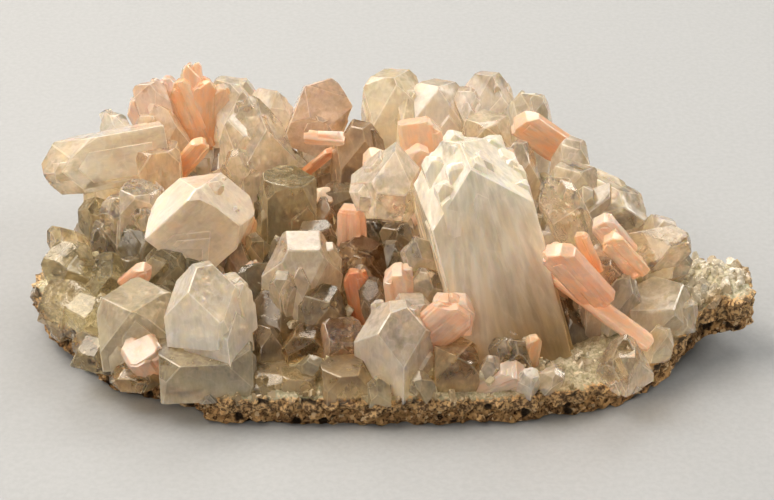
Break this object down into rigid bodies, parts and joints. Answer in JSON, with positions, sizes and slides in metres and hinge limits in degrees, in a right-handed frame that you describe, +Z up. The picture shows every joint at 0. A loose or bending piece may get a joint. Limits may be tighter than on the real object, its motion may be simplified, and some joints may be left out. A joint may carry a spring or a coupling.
{
  "type": "mineral specimen of apophyllite with stilbite",
  "caption": "Loose low plate of clear to milky apophyllite crystals with salmon stilbite blades on a drusy crust over a thin rind of basalt.",
  "frame": {"origin": "centre of the bounding box at its base, where the rind rests", "axes": "+X along the plate's longest side, towards the narrow right wing; +Y from the front rim to the back rim; +Z up, out of the crystals"},
  "size_m": [0.1508, 0.092, 0.0482],
  "materials": {
    "apophyllite": "vitreous, clear to milky, with flat natural faces",
    "stilbite": "satin to pearly, finely striated along the blades",
    "drusy_crust": "sparkling, made of very small crystals",
    "basalt": "rough, granular and pitted, iron-stained"
  },
  "bodies": {
    "root": {"apophyllite_back_domes": "apophyllite", "apophyllite_back_left": "apophyllite", "apophyllite_back_middle": "apophyllite", "apophyllite_back_right": "apophyllite", "apophyllite_centre": "apophyllite", "apophyllite_clear_wedge": "apophyllite", "apophyllite_cloudy_block": "apophyllite", "apophyllite_cream": "apophyllite", "apophyllite_dark_floor": "apophyllite", "apophyllite_front_amber": "apophyllite", "apophyllite_front_eyes": "apophyllite", "apophyllite_front_hexagon": "apophyllite", "apophyllite_front_low": "apophyllite", "apophyllite_front_point": "apophyllite", "apophyllite_front_spire": "apophyllite", "apophyllite_giant": "apophyllite", "apophyllite_glassy_finger": "apophyllite", "apophyllite_grey_block": "apophyllite", "apophyllite_grey_wedge": "apophyllite", "apophyllite_left_cluster": "apophyllite", "apophyllite_left_corner": "apophyllite", "apophyllite_left_glass": "apophyllite", "apophyllite_left_spear": "apophyllite", "apophyllite_low_clear": "apophyllite", "apophyllite_olive": "apophyllite", "apophyllite_pink_block": "apophyllite", "apophyllite_pink_cube": "apophyllite", "apophyllite_rear_corner": "apophyllite", "apophyllite_right_bed": "apophyllite", "apophyllite_right_prism": "apophyllite", "apophyllite_right_ridge": "apophyllite", "apophyllite_sliver": "apophyllite", "apophyllite_small_pair": "apophyllite", "apophyllite_tall_point": "apophyllite", "apophyllite_white_block": "apophyllite", "basalt_rind": "basalt", "drusy_crust": "drusy_crust", "stilbite_back_left_pair": "stilbite", "stilbite_back_right": "stilbite", "stilbite_bright_blades": "stilbite", "stilbite_centre_wall": "stilbite", "stilbite_fan": "stilbite", "stilbite_front_knob": "stilbite", "stilbite_front_left": "stilbite", "stilbite_front_lens": "stilbite", "stilbite_front_sheaf": "stilbite", "stilbite_front_sliver": "stilbite", "stilbite_hollow_blade": "stilbite", "stilbite_ledge": "stilbite", "stilbite_left_chip": "stilbite", "stilbite_left_stub": "stilbite", "stilbite_rear_fan": "stilbite", "stilbite_rear_right": "stilbite", "stilbite_red_blade": "stilbite", "stilbite_right_steps": "stilbite", "stilbite_shoulder": "stilbite", "stilbite_summit_sheaf": "stilbite", "stilbite_thin_slip": "stilbite"}
  },
  "joints": []
}
